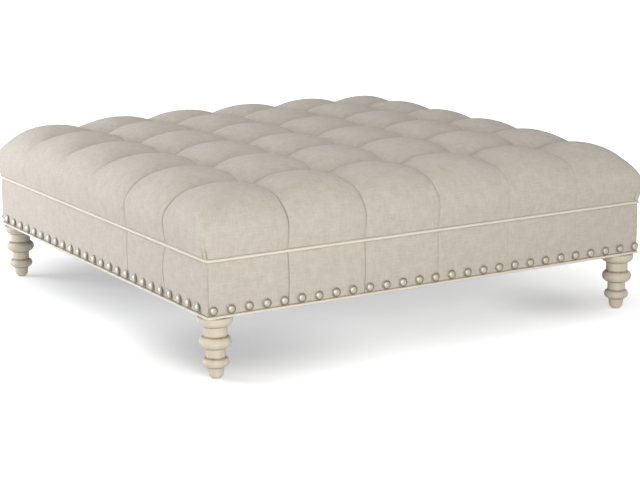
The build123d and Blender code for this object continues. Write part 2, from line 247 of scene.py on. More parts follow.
def woven_cloth_group():
    """A plain weave with uneven threads. Its vector is in metres along the cloth."""
    tree, given, result = start_group("Woven Cloth", "Cloth", "Slub", "Threads per Metre", "Slub Amount")
    place = given["Vector"]
    turns = add_node(tree, "VectorMath", {0: place, "Scale": given["Threads per Metre"]}, operation="SCALE")
    parts = add_node(tree, "SeparateXYZ", {0: turns.outputs[0]}).outputs
    warp, weft = (math_node(tree, "SINE", math_node(tree, "MULTIPLY", parts[axis], math.pi)) for axis in "XY")
    weave = math_node(tree, "ABSOLUTE", math_node(tree, "MULTIPLY", warp, weft))
    long = noise_of(tree, scaled_by(tree, place, *LONG_STREAKS), 1.0, 1.0)
    cross = noise_of(tree, scaled_by(tree, place, *CROSS_STREAKS), 1.0, 1.0)
    streaks = math_node(tree, "ADD", long, cross)
    patches = math_node(tree, "MULTIPLY", noise_of(tree, place, *CLOTH_PATCHES), PATCH_WEIGHT)
    uneven = math_node(tree, "SUBTRACT", math_node(tree, "ADD", streaks, patches), PATTERN_MEAN)
    share = math_node(tree, "ADD", math_node(tree, "MULTIPLY", uneven, given["Slub Amount"]), 0.5)
    tree.links.new(blend_colours(tree, share, given["Cloth"], given["Slub"]), result["Colour"])
    raised = math_node(tree, "MULTIPLY", streaks, 0.3)
    tree.links.new(math_node(tree, "ADD", weave, raised), result["Height"])
    tree.links.new(stretch(tree, weave, 0.0, 1.0, 0.95, 0.82), result["Roughness"])
    return tree


# How long the grain is drawn out along Z, and the pores, in cells per metre
GRAIN_LENGTH = (1, 1, 0.07)
PORES = (900, 900, 40)


def wood_grain_group():
    """Straight grain along Z with fine pores. Its vector is in metres."""
    tree, given, result = start_group("Wood Grain", "Light", "Dark", "Grain Scale", "Contrast")
    bands = noise_of(tree, scaled_by(tree, given["Vector"], *GRAIN_LENGTH), given["Grain Scale"], 4.0, 0.6)
    pores = stretch(tree, noise_of(tree, scaled_by(tree, given["Vector"], *PORES), 1.0, 1.0), 0.35, 0.55)
    share = math_node(tree, "MULTIPLY", stretch(tree, bands, 0.35, 0.7), given["Contrast"])
    tree.links.new(blend_colours(tree, share, given["Light"], given["Dark"]), result["Colour"])
    tree.links.new(math_node(tree, "ADD", pores, math_node(tree, "MULTIPLY", bands, 0.5)), result["Height"])
    tree.links.new(stretch(tree, bands, 0.2, 0.8, 0.48, 0.66), result["Roughness"])
    return tree


def patches_group():
    """Uneven patches for plain surfaces. Its vector is in metres."""
    tree, given, result = start_group("Patches", "Base", "Patch", "Scale", "Smooth", "Dull")
    fine = noise_of(tree, given["Vector"], given["Scale"], 5.0, 0.6)
    share = stretch(tree, fine, 0.35, 0.7)
    tree.links.new(blend_colours(tree, share, given["Base"], given["Patch"]), result["Colour"])
    tree.links.new(fine, result["Height"])
    ends = {"From Min": 0.3, "From Max": 0.7, "To Min": given["Smooth"], "To Max": given["Dull"]}
    tree.links.new(add_node(tree, "MapRange", {"Value": fine, **ends}).outputs["Result"], result["Roughness"])
    return tree


GROUPS = {"Woven Cloth": woven_cloth_group, "Wood Grain": wood_grain_group, "Patches": patches_group}


def surface(name, group_name, values, bump, overlay=None, on_cloth=False, turned=None, **shader):
    """A material made by a group from the values of its inputs, with another colour over it by a mask."""
    if name in bpy.data.materials:
        return bpy.data.materials[name]
    material = bpy.data.materials.new(name)
    material.use_nodes = True
    tree = material.node_tree
    bsdf = tree.nodes["Principled BSDF"]
    for socket, value in shader.items():
        bsdf.inputs[socket.replace("_", " ").title()].default_value = value
    if on_cloth:
        place = add_node(tree, "UVMap", uv_map="cloth").outputs["UV"]
    else:
        place = add_node(tree, "TexCoord").outputs["Object"]
    if turned:
        place = add_node(tree, "Mapping", {"Vector": place, "Rotation": turned}).outputs["Vector"]
    pattern = tree.nodes.new("ShaderNodeGroup")
    pattern.node_tree = bpy.data.node_groups.get(group_name) or GROUPS[group_name]()
    tree.links.new(place, pattern.inputs["Vector"])
    for socket, value in zip(list(pattern.inputs)[1:], values):
        socket.default_value = (*value, 1.0) if socket.type == "RGBA" else value
    colour = pattern.outputs["Colour"]
    if overlay:
        mask, over = overlay
        colour = blend_colours(tree, mask(tree), colour, over)
    tree.links.new(colour, bsdf.inputs["Base Color"])
    tree.links.new(pattern.outputs["Roughness"], bsdf.inputs["Roughness"])
    relief = {"Height": pattern.outputs["Height"], "Distance": bump, "Strength": 1.0}
    tree.links.new(add_node(tree, "Bump", relief).outputs["Normal"], bsdf.inputs["Normal"])
    return material


def shade_and_patina_mask(tree):
    """Painted shade in the folds, and patina with painted shade at the nail heads' edges, where a mesh has
    marked them.
    """
    return add_node(tree, "Attribute", attribute_name=SHADE_AND_PATINA_MARK).outputs["Fac"]


# Where the rings, necks and collar of a leg meet, and how far the painted shade spreads there
GROOVE_LEVELS = (
    (0.028, 0.0035), (0.051, 0.004), (0.0735, 0.0035), (0.102, 0.004), (0.126, 0.003), (0.150, 0.004)
)
GROOVE_SHADE_STRENGTH = 0.85
# The second colour of the legs' grain and of the nickel's patches, as a share of the first
GRAIN_SHADE = 0.86
NICKEL_SHADE = 0.8


def groove_shade_mask(tree):
    """Painted shade in the grooves of a turned leg, unevenly."""
    place = add_node(tree, "TexCoord").outputs["Object"]
    level = add_node(tree, "SeparateXYZ", {0: place}).outputs["Z"]
    groove = 0.0
    for middle, width in GROOVE_LEVELS:
        away = math_node(tree, "ABSOLUTE", math_node(tree, "SUBTRACT", level, middle))
        near = stretch(tree, away, 0.0, width, GROOVE_SHADE_STRENGTH, 0.0)
        groove = math_node(tree, "MAXIMUM", groove, near)
    smudge = stretch(tree, noise_of(tree, place, 120.0), 0.2, 0.7, 0.5, 1.0)
    return math_node(tree, "MULTIPLY", groove, smudge)


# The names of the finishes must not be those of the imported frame's own materials


def linen():
    """The oatmeal linen of the cover and the apron, with painted shade in the folds of its seams."""
    colours = bpy.context.scene.ottoman_finish
    cloth = [2 * c - s for c, s in zip(colours.linen, colours.linen_slub)]
    values = (cloth, colours.linen_slub, 1100.0, 0.85)
    # Painted shade in the seams' folds, by the marked attribute
    seams = (shade_and_patina_mask, colours.linen_seam_shade)
    sheen = {"sheen_weight": 0.3, "sheen_roughness": 0.4}
    return surface("oatmeal_linen", "Woven Cloth", values, 0.00025, seams, on_cloth=True, **sheen)


def welt_cloth():
    """The ivory cotton of the welts."""
    colour = bpy.context.scene.ottoman_finish.welt
    values = (colour, colour, 1600.0, 0.2)
    return surface("ivory_welt_cotton", "Woven Cloth", values, 0.00015, sheen_weight=0.1, sheen_roughness=0.5)


def washed_wood():
    """The pale washed wood of the legs, with painted shade in the grooves of the turning."""
    colours = bpy.context.scene.ottoman_finish
    values = (colours.wood, [c * GRAIN_SHADE for c in colours.wood], 55.0, 0.5)
    groove_shade = (groove_shade_mask, colours.wood_groove_shade)
    return surface("pale_washed_wood", "Wood Grain", values, 0.0002, groove_shade, coat_weight=0.05)


def nickel():
    """Brushed nickel of the nail heads, darker round the edge and in the groove with dulled metal and painted
    shade.
    """
    colours = bpy.context.scene.ottoman_finish
    values = (colours.nickel, [c * NICKEL_SHADE for c in colours.nickel], 420.0, 0.42, 0.54)
    return surface("brushed_nickel", "Patches", values, 0.00004, (shade_and_patina_mask, colours.patina_and_shade), metallic=1.0)


# The other finishes: group, two colours, its numbers, depth of the bump, and what else they set
ALONG_X = {"turned": (0, math.pi / 2, 0)}
CAMBRIC = {"on_cloth": True, "sheen_weight": 0.1}
METAL = {"metallic": 1.0}
PLAIN_FINISHES = {
    "softwood_timber": ("Wood Grain", (214, 184, 140), (186, 150, 104), (50.0, 0.7), 0.0002, ALONG_X),
    "deck_plywood": ("Wood Grain", (222, 196, 156), (200, 170, 126), (26.0, 0.6), 0.00015, ALONG_X),
    "black_cambric": ("Woven Cloth", (48, 47, 46), (62, 60, 58), (700.0, 0.4), 0.0001, CAMBRIC),
    "upholstery_foam": ("Patches", (236, 224, 190), (222, 206, 166), (900.0, 0.9, 1.0), 0.0004, {}),
    "tufting_twine": ("Patches", (214, 198, 168), (188, 168, 132), (2500.0, 0.6, 0.8), 0.0003, {}),
    "zinc_plated_steel": ("Patches", (190, 192, 194), (160, 163, 168), (240.0, 0.3, 0.5), 0.00002, METAL),
    "nylon_glide": ("Patches", (226, 222, 212), (206, 200, 188), (300.0, 0.35, 0.55), 0.00005, {}),
}


def plain_finish(name):
    """One of the plain finishes."""
    group, first, second, numbers, bump, extras = PLAIN_FINISHES[name]
    return surface(name, group, (srgb(*first), srgb(*second), *numbers), bump, **extras)


# Meshes


def deselect_all():
    """Leaves nothing selected, in object mode."""
    if bpy.context.object and bpy.context.object.mode != "OBJECT":
        bpy.ops.object.mode_set(mode="OBJECT")
    bpy.ops.object.select_all(action="DESELECT")


def select_only(piece):
    """Leaves one piece selected and active, in object mode."""
    deselect_all()
    bpy.context.view_layer.objects.active = piece
    piece.select_set(True)


def edit_all():
    """Goes into edit mode with the whole mesh selected."""
    bpy.ops.object.mode_set(mode="EDIT")
    bpy.ops.mesh.select_all(action="SELECT")


def bell(distance, width):
    """1 at no distance, fading to almost 0 at twice the width."""
    return math.exp(-((distance / width) ** 2))


def mesh_piece(name, points, faces):
    """A new object from points and faces."""
    mesh = bpy.data.meshes.new(name)
    mesh.from_pydata([tuple(map(float, p)) for p in points], [], faces)
    mesh.update()
    mesh.shade_smooth()
    piece = bpy.data.objects.new(name, mesh)
    bpy.context.collection.objects.link(piece)
    return piece


def give_cloth_map(piece, places):
    """Gives each face its place on the flat cloth, in metres."""
    layer = piece.data.uv_layers.new(name="cloth")
    layer.data.foreach_set("uv", [c for place in places for c in place])


def mark_shade_and_patina(piece, marks):
    """Stores for each point, from 0 to 1, how much painted shade it gets in a fold, and at a nail head how
    much patina with painted shade.
    """
    layer = piece.data.attributes.new(SHADE_AND_PATINA_MARK, "FLOAT", "POINT")
    layer.data.foreach_set("value", marks)


def apply_modifiers(piece):
    """Applies the modifiers of a piece."""
    select_only(piece)
    for modifier in list(piece.modifiers):
        bpy.ops.object.modifier_apply(modifier=modifier.name)


def round_the_table(point, side):
    """A point of the front side, moved to another side, counted anticlockwise."""
    x, y, z = point
    for _ in range(side):
        x, y = -y, x
    return (x, y, z)


def dress(piece, material, slot, *nodes):
    """Gives a new piece its finish, its body and the CAD nodes that it stands for."""
    piece.data.materials.clear()
    piece.data.materials.append(material)
    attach(piece, BODY)
    if nodes:
        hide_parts(*nodes)
    return piece


# The tufted cover

# Mesh lines beside a seam, and lines over the edge, close together where the pleats of a corner are
SEAM_STEPS = (0.0009, 0.002, 0.0036, 0.008)
EDGE_TURNS = (0.2, 0.4, 0.6, 0.76, 0.848, 0.858, 0.872, 0.882, 0.93, 0.978, 0.99, 1.0)
# Rows from the top round to the widest level, and from there down to just above the foot
TURN_STEPS = 5
LOWER_SHARES = (0.2, 0.4, 0.56, 0.7, 0.82, 0.92, 1.0)
FOOT_LIFT = 0.004
# The rows that turn the cloth under: height above the foot, and how far in
FOOT_ROWS = ((0.0012, 0.0006), (0.0, 0.004), (0.0, 0.05))
# How square the corners are and how deep the seams, by height over the edge, and at the foot
HEIGHT_SHARES = (0.0, 0.25, 0.5, 0.9, 1.0)
CORNER_POWERS = (11.5, 7.0, 4.6, 3.2, 2.3)
FOOT_CORNER_POWER = 36.0
SEAM_SHARES = (0.16, 0.32, 0.52, 0.74, 1.0)
FOOT_SEAM_SHARE = 0.075
FOOT_DRAW_POWER = 1.5
# How much a seam's crease and painted shade show on the top, how soon over the edge the side's own measure
# holds, and how it fades
TOP_STRENGTH = 0.34
SIDE_ONSET = 2.8
FOOT_FADE = 0.45
# How much shallower the puffs of a side are by a seam that doesn't show
SIDE_SMOOTHING = 0.8
# How wide the painted shade of a seam's fold spreads
FOLD_SHADE_WIDTH = 0.0016
# The lines of the pleats at a corner, which are also given painted shade, how far down a side they start, and
# their depth
PLEATS_BEFORE_EDGE = (0.858, 0.872)
PLEATS_ON_EDGE = (0.99, 1.0)
PLEAT_START = 0.5
PLEAT_DEPTH = 0.0022
# The swell: how near a seam the cloth is held, how long it swells, and its stiffness
HELD_WIDTH = 0.004
HELD_ROWS = 2
SWELL_FRAMES = 20
CLOTH_SETTINGS = {
    "quality": 6,
    "mass": 0.3,
    "tension_stiffness": 20,
    "compression_stiffness": 20,
    "shear_stiffness": 8,
    "bending_stiffness": 0.4,
    "use_pressure": True,
}


def seam_places(cover):
    """The seams across the cover, from its middle."""
    return [(k - cover.puffs / 2) * cover.seam_pitch for k in range(1, cover.puffs)]


def places_across(seams, half, beside, spacing):
    """Places for mesh lines from one end to the other: on each seam, close beside it, and evenly between."""
    places = [seam + side * step for seam in seams for side in (-1, 1) for step in (0, *beside)]
    ends = [-half, *(seam + side * beside[-1] for seam in seams for side in (-1, 1)), half]
    for low, high in zip(ends[::2], ends[1::2]):
        steps = round((high - low) / spacing)
        places += [low + (high - low) * k / steps for k in range(steps + 1)]
    return sorted({round(place, 6) for place in places})


def cover_lines(cover, inner):
    """The grid lines across the cover: a place on its flat part, and a turn over the edge from -1 to 1."""
    flat = places_across(seam_places(cover), inner, SEAM_STEPS, cover.spacing)
    near_end = [(-inner, -turn) for turn in reversed(EDGE_TURNS)]
    return near_end + [(place, 0.0) for place in flat] + [(inner, turn) for turn in EDGE_TURNS]


def fall_to_seam(place, seams, inner, power):
    """0 in the middle of a puff, 1 at its seam, and 0 past the middle of the outermost puffs."""
    stops = [-inner, *seams, inner]
    for number, (low, high) in enumerate(zip(stops[:-1], stops[1:])):
        if low <= place <= high:
            if number == 0:
                return ((place - low) / (high - low)) ** power
            if number == len(seams):
                return ((high - place) / (high - low)) ** power
            return abs((place - (low + high) / 2) / ((high - low) / 2)) ** power
    return 0.0


class CoverShape:
    """The outer surface of the cover: its lines across the table, and its levels from the top to the foot."""

    def __init__(self, cover):
        self.cover = cover
        self.half = COVER_HIGH.x + cover.side_swell
        self.inner = self.half - cover.edge_round
        self.seams = seam_places(cover)
        self.lines = cover_lines(cover, self.inner)
        self.count = len(self.lines)
        self.foot = COVER_LOW.z
        self.side_crown = COVER_HIGH.z - cover.crown_rise
        turned = [(math.tan((1 - k / TURN_STEPS) * math.pi / 4), 0.0) for k in range(1, TURN_STEPS + 1)]
        self.levels = [(1.0, 0.0), *turned, *((0.0, share) for share in LOWER_SHARES)]
        places = [place for place, _ in self.lines]
        self.falls = [fall_to_seam(place, self.seams, self.inner, cover.puff_power) for place in places]
        away = [[abs(place - seam) for seam in self.seams] for place in places]
        self.near = [min(row) for row in away]
        self.nearest = [row.index(min(row)) for row in away]
        self.pinches = [math.exp(-near / cover.crease_width) for near in self.near]
        self.pulls = [bell(near, cover.tuft_width) for near in self.near]
        # How much painted shade a seam's fold gives each line
        self.folds = [bell(near, FOLD_SHADE_WIDTH) for near in self.near]

    def crown(self, x, y):
        """The level of the puffs at a place, before their seams are drawn in."""
        powers = [self.cover.crown_power if place < 0 else self.cover.far_crown_power for place in (x, y)]
        fall_x, fall_y = (min(abs(place) / APRON_HIGH.x, 1) ** power for place, power in zip((x, y), powers))
        return self.side_crown + self.cover.crown_rise * (1 - fall_x) * (1 - fall_y)

    def smooth_point(self, i, j, up, down):
        """A point of the surface before its seams are drawn in, and how high it lies, from 0 to 1."""
        (x0, turn_x), (y0, turn_y) = self.lines[i], self.lines[j]
        ox, oy = math.tan(turn_x * math.pi / 4), math.tan(turn_y * math.pi / 4)
        wide = max(abs(ox), abs(oy))
        height = up / math.hypot(wide, up) if wide or up else 0.0
        power = np.interp(height, HEIGHT_SHARES, CORNER_POWERS)
        power += (FOOT_CORNER_POWER - power) * down
        reach = (abs(ox) ** power + abs(oy) ** power) ** (1 / power)
        bend = 2 - self.cover.corner_slope * min(abs(ox), abs(oy))
        scale = 1 / (reach**bend + up**bend) ** (1 / bend)
        round_over = self.cover.edge_round - self.cover.foot_draw * down**FOOT_DRAW_POWER
        x = x0 + round_over * scale * ox
        y = y0 + round_over * scale * oy
        swell = self.cover.swell_level
        z = swell + (self.crown(x, y) - swell) * scale * up - (swell - self.foot - FOOT_LIFT) * down
        return (x, y, z), height

    def seam_marks(self, line, crossing, sides, height, down):
        """How far a puff falls to the seam by one line, and how strongly its crease and painted shade show,
        where another line crosses it.
        """
        side = sides[self.lines[crossing][1] > 0]
        seam = self.nearest[line]
        if side in ("back", "left"):
            seam = len(self.seams) - 1 - seam
        shown = SIDE_SEAMS[side][seam][2]
        on_side = min(1.0, SIDE_ONSET * (1 - height))
        fall = self.falls[line] * (1 - SIDE_SMOOTHING * (1 - shown) * on_side)
        strength = (TOP_STRENGTH + (shown - TOP_STRENGTH) * on_side) * (1 - FOOT_FADE * down)
        tuft = bell(self.near[crossing], self.cover.tuft_mark) * (1 - on_side)
        return fall, max(strength, tuft)

    def pleat(self, i, j, down):
        """How strongly a corner's two pleats show just above the welt: one on its edge, and one before it."""
        (_, turn_x), (_, turn_y) = self.lines[i], self.lines[j]
        turn = min(abs(turn_x), abs(turn_y))
        same_way = (turn_x < 0) == (turn_y < 0)
        before = same_way == (abs(turn_x) >= abs(turn_y))
        on_pleat = turn in PLEATS_ON_EDGE or (turn in PLEATS_BEFORE_EDGE and before)
        return max(0.0, (down - PLEAT_START) / (1 - PLEAT_START)) if on_pleat else 0.0

    def draw_in(self, i, j, height, down):
        """How deep a point is drawn in from the smooth surface, and how much painted shade it gets in a fold,
        0 to 1.
        """
        cover = self.cover
        fall_x, shown_x = self.seam_marks(i, j, ("front", "back"), height, down)
        fall_y, shown_y = self.seam_marks(j, i, ("left", "right"), height, down)
        share = np.interp(height, HEIGHT_SHARES, SEAM_SHARES)
        share += (FOOT_SEAM_SHARE - share) * down
        depth = share * cover.seam_depth * (fall_x + fall_y)
        depth += share * cover.tuft_pull * self.pulls[i] * self.pulls[j]
        depth += cover.crease_depth * max(self.pinches[i] * shown_x, self.pinches[j] * shown_y)
        pleat = self.pleat(i, j, down)
        # The second value is painted shade, from the seams' folds and the pleats
        return depth + PLEAT_DEPTH * pleat, max(self.folds[i] * shown_x, self.folds[j] * shown_y, pleat)

    def ring(self):
        """The grid places round the edge, anticlockwise from the front left corner."""
        last = self.count - 1
        front = [(k, 0) for k in range(last)]
        right = [(last, k) for k in range(last)]
        back = [(k, last) for k in range(last, 0, -1)]
        left = [(0, k) for k in range(last, 0, -1)]
        return front + right + back + left

    def spots(self, levels):
        """The grid place and the level of each point: the whole top, then ring by ring down the side."""
        top = [(i, j, 0) for i in range(self.count) for j in range(self.count)]
        ring = self.ring()
        return top + [(i, j, level) for level in range(1, levels) for i, j in ring]


def band(above, below):
    """The faces between two rings of points."""
    turned = [*range(1, len(above)), 0]
    return [(above[k], below[k], below[m], above[m]) for k, m in enumerate(turned)]


def build_cover(cover):
    """The tufted cover, open at its foot, with its seams drawn in, and how much painted shade each point gets
    in a fold.
    """
    shape = CoverShape(cover)
    n = shape.count
    around = len(shape.ring())
    spots = shape.spots(len(shape.levels))
    smooth = [shape.smooth_point(i, j, *shape.levels[level]) for i, j, level in spots]
    points = np.array([point for point, _ in smooth])
    corners = [i * n + j for i in range(n - 1) for j in range(n - 1)]
    faces = [(k, k + n, k + n + 1, k + 1) for k in corners]
    rings = [[i * n + j for i, j in shape.ring()]]
    for start in range(n * n, len(spots), around):
        rings.append(list(range(start, start + around)))
        faces += band(rings[-2], rings[-1])
    piece = mesh_piece("tufted_cover", points, faces)
    normals = np.zeros(len(points) * 3)
    piece.data.vertex_normals.foreach_get("vector", normals)
    bpy.data.objects.remove(piece)
    downs = [down for _, down in shape.levels]
    drawn = (shape.draw_in(i, j, high, downs[level]) for (i, j, level), (_, high) in zip(spots, smooth))
    depths, folds = zip(*drawn)
    points -= normals.reshape(-1, 3) * np.array(depths)[:, None]
    foot = points[rings[-1]].tolist()
    points = points.tolist()
    for rise, inset in FOOT_ROWS:
        rings.append(list(range(len(points), len(points) + around)))
        faces += band(rings[-2], rings[-1])
        share = 1 - inset / shape.half
        points += [(x * share, y * share, shape.foot + rise) for x, y, _ in foot]
    return shape, points, faces, [*folds, *[0.0] * (len(points) - len(folds))]


def swell_cloth(piece, shape, cover):
    """Lets the cloth swell a little between its seams under the pressure of the filling."""
    spots = shape.spots(len(shape.levels))
    held = [k for k, (i, j, _) in enumerate(spots) if min(shape.near[i], shape.near[j]) < HELD_WIDTH]
    held += [k for k, (_, _, level) in enumerate(spots) if level >= len(shape.levels) - HELD_ROWS]
    held += range(len(spots), len(piece.data.vertices))
    group = piece.vertex_groups.new(name="held")
    group.add(sorted(set(held)), 1.0, "REPLACE")
    rest = np.zeros(len(piece.data.vertices) * 3)
    piece.data.vertices.foreach_get("co", rest)
    cloth = piece.modifiers.new("Swell", "CLOTH")
    for name, value in CLOTH_SETTINGS.items():
        setattr(cloth.settings, name, value)
    cloth.settings.vertex_group_mass = "held"
    cloth.settings.shrink_min = -cover.slack
    cloth.settings.uniform_pressure_force = cover.pressure
    cloth.settings.effector_weights.gravity = 0
    cloth.collision_settings.use_collision = False
    cloth.point_cache.frame_start = 1
    cloth.point_cache.frame_end = SWELL_FRAMES
    scene = bpy.context.scene
    for frame_number in range(1, SWELL_FRAMES + 1):
        scene.frame_set(frame_number)
    swollen = piece.evaluated_get(bpy.context.evaluated_depsgraph_get()).to_mesh()
    moved = np.zeros(len(rest))
    swollen.vertices.foreach_get("co", moved)
    piece.modifiers.remove(cloth)
    piece.vertex_groups.remove(group)
    scene.frame_set(1)
    step = (moved - rest).reshape(-1, 3)
    far = np.linalg.norm(step, axis=1, keepdims=True)
    step *= cover.give * np.tanh(far / cover.give) / np.maximum(far, 1e-9)
    piece.data.vertices.foreach_set("co", rest + step.ravel())
    piece.data.update()


def close_foot(piece):
    """Fills the open foot of the cover with one flat face."""
    select_only(piece)
    bpy.ops.object.mode_set(mode="EDIT")
    bpy.ops.mesh.select_mode(type="EDGE")
    bpy.ops.mesh.select_all(action="DESELECT")
    bpy.ops.mesh.select_non_manifold()
    bpy.ops.mesh.edge_face_add()
    bpy.ops.object.mode_set(mode="OBJECT")


def path_lengths(points):
    """How far along a line of points each of them lies."""
    steps = np.linalg.norm(np.diff(points, axis=0), axis=1)
    return np.concatenate([[0], np.cumsum(steps)])


def cloth_places(shape, points, faces):
    """For each corner of each face, its place on the flat cloth: the top, with its four sides folded out."""
    n = shape.count
    middle = n // 2
    around = len(shape.ring())
    along = path_lengths([points[i * n + middle] for i in range(n)])
    along -= along[middle]
    drop = path_lengths([points[middle * n], *points[n * n + middle :: around]])
    where = shape.spots(len(drop))
    # Each side: the grid line that it hangs from, and the way it folds out
    edges = ((1, 0, 0, -1), (0, n - 1, 1, 0), (1, n - 1, 0, 1), (0, 0, -1, 0))
    places = []
    for face in faces:
        spots = [where[v] for v in face]
        hangs = [way for axis, line, *way in edges if all(spot[axis] == line for spot in spots)]
        right, up = hangs[0] if hangs else (0, 0)
        places += [(along[i] + right * drop[level], along[j] + up * drop[level]) for i, j, level in spots]
    return places


class OTTOMAN_OT_cover(Operator):
    """Build the tufted cover over the foam blocks"""

    bl_idname = "ottoman.cover"
    bl_label = "Tufted Cover"

    def execute(self, context):
        cover = context.scene.ottoman_cover
        shape, points, faces, folds = build_cover(cover)
        piece = mesh_piece("tufted_cover", points, faces)
        give_cloth_map(piece, cloth_places(shape, points, faces))
        mark_shade_and_patina(piece, folds)
        swell_cloth(piece, shape, cover)
        smoothing = piece.modifiers.new("Soften", "SUBSURF")
        smoothing.levels = smoothing.render_levels = 1
        smoothing.uv_smooth = "NONE"
        apply_modifiers(piece)
        close_foot(piece)
        dress(piece, linen(), "linen", "tufted_top")
        return {"FINISHED"}


# The apron

APRON_CORNER = 0.010
APRON_CORNER_STEPS = 3
APRON_SPACING = 0.005
APRON_SEAM_STEPS = (0.0007, 0.0015, 0.003)
APRON_ROWS = 24
# How far beside a seam the cloth is shifted, pinched, hollowed and given painted shade, and how deep the
# hollow is
SHIFT_WIDTH = 0.035
PINCH_WIDTH = 0.0011
HOLLOW_WIDTH = 0.012
HOLLOW_SHARE = 0.25
APRON_FOLD_SHADE_WIDTH = 0.0012
# How much of a seam's groove and painted fold shade the corners of the apron have
CORNER_GROOVE = 0.15
CORNER_FOLD_SHADE = 0.1
# How the padding fills the height, how much of it a seam takes away, and how the edges round over
PUFF_FULLNESS = 0.8
SEAM_FLATTENING = 0.8
ROUNDING_DEPTH = 0.0016
ROUNDING_WIDTH = 0.0022
DIMPLE_DEPTH = 0.0007
DIMPLE_WIDTH = 0.016
# How far the nail heads in the middle of a side sit towards its left end
NAIL_LAGS = {"front": 0.009, "right": -0.007, "back": 0.009, "left": -0.007}


def nail_places(side):
    """The places of the nail heads along a side, from its left end."""
    trim = bpy.context.scene.ottoman_trim
    front = side in ("front", "back")
    count = trim.front_nails if front else trim.side_nails
    reach = (NAILS_HIGH.x if front else SIDE_NAILS_HIGH.y) - trim.nail_radius
    lag = NAIL_LAGS[side]
    shares = [k / (count - 1) for k in range(count)]
    return [reach * (2 * share - 1) - lag * math.sin(math.pi * share) for share in shares]


def apron_seams(side, seams, x, share):
    """What the seams of a panel do at a place: shift the cloth along, draw it in, and give it painted shade
    in its fold.
    """
    shift, groove, fold = 0.0, 0.0, 0.0
    for seam, (bow, stray, shown) in zip(seams, SIDE_SEAMS[side]):
        away = abs(x - seam)
        shift += bell(away, SHIFT_WIDTH) * (bow * math.sin(math.pi * share) - stray * (1 - share) ** 2)
        pinch = max(math.exp(-away / PINCH_WIDTH), HOLLOW_SHARE * math.exp(-away / HOLLOW_WIDTH))
        groove = max(groove, shown * pinch)
        # Painted shade along the seam's fold
        fold = max(fold, shown * bell(away, APRON_FOLD_SHADE_WIDTH))
    return shift, groove, fold


def panel_faces(wide, high):
    """The faces of a panel: wide by high points on its front, then the back's, low and high in turn."""
    faces = []
    for row in range(high - 1):
        for k in range(row * wide, row * wide + wide - 1):
            faces.append((k, k + 1, k + wide + 1, k + wide))
    start = high * wide
    for k in range(wide - 1):
        low, low_next = start + 2 * k, start + 2 * k + 2
        top, top_next = low + 1, low_next + 1
        face_top = (high - 1) * wide + k
        faces.append((low_next, low, top, top_next))
        faces.append((low, low_next, k + 1, k))
        faces.append((top_next, top, face_top, face_top + 1))
    left = range(0, start, wide)
    right = range(start - 1, 0, -wide)
    faces.append((*left, start + 1, start))
    faces.append((*right, start + 2 * wide - 2, start + 2 * wide - 1))
    return faces


def apron_panel(side):
    """One padded panel: swollen between the welts, with seams and dimples at the nails, and a flat back."""
    trim = bpy.context.scene.ottoman_trim
    seams = seam_places(bpy.context.scene.ottoman_cover)
    centre = APRON_HIGH.x - APRON_CORNER
    bottom, top = APRON_LOW.z, APRON_HIGH.z
    nail_level = (NAILS_LOW.z + NAILS_HIGH.z) / 2
    nails = nail_places(side)
    bends = [math.pi / 4 * k / APRON_CORNER_STEPS for k in range(1, APRON_CORNER_STEPS + 1)]
    columns = [(-centre, -bend) for bend in reversed(bends)]
    columns += [(x, 0.0) for x in places_across(seams, centre, APRON_SEAM_STEPS, APRON_SPACING)]
    columns += [(centre, bend) for bend in bends]
    points, places, folds = [], [], []
    for row in range(APRON_ROWS + 1):
        share = row / APRON_ROWS
        z = bottom + (top - bottom) * share
        edge = min(share, 1 - share) * (top - bottom)
        rounding = ROUNDING_DEPTH * math.exp(-edge / ROUNDING_WIDTH)
        swell = trim.apron_puff * math.sin(math.pi * share) ** PUFF_FULLNESS
        for x, bend in columns:
            shift, groove, fold = apron_seams(side, seams, x, share)
            if abs(bend) == bends[-1]:
                groove, fold = CORNER_GROOVE, CORNER_FOLD_SHADE
            dimple = DIMPLE_DEPTH * max(bell(math.hypot(x - k, z - nail_level), DIMPLE_WIDTH) for k in nails)
            out = swell * (1 - SEAM_FLATTENING * groove) - trim.apron_seam_depth * groove - rounding - dimple
            radius = APRON_CORNER + out
            points.append((x + shift + math.sin(bend) * radius, -centre - math.cos(bend) * radius, z))
            places.append((x + bend * APRON_CORNER, z))
            folds.append(fold)
    radius = -RAIL_LOW.y - centre
    for x, bend in columns:
        for z in (bottom, top):
            points.append((x + math.sin(bend) * radius, -centre - math.cos(bend) * radius, z))
            places.append((x, z))
            folds.append(0.0)
    turned = [round_the_table(point, SIDES.index(side)) for point in points]
    faces = panel_faces(len(columns), APRON_ROWS + 1)
    piece = mesh_piece(f"apron_cloth_{side}", turned, faces)
    give_cloth_map(piece, [places[v] for face in faces for v in face])
    mark_shade_and_patina(piece, folds)
    return piece


class OTTOMAN_OT_apron(Operator):
    """Build the four padded panels of the apron"""

    bl_idname = "ottoman.apron"
    bl_label = "Apron"

    def execute(self, context):
        for side in SIDES:
            piece = apron_panel(side)
            dress(piece, linen(), "linen", f"apron_{side}")
        return {"FINISHED"}


# The welts

WELT_STEPS = 44
WELT_CORNER_STEPS = 8
WELT_WOBBLE = 0.00015
WELT_LIP = 0.0003
TAPE_WIDTH = 0.010
TAPE_THICKNESS = 0.001


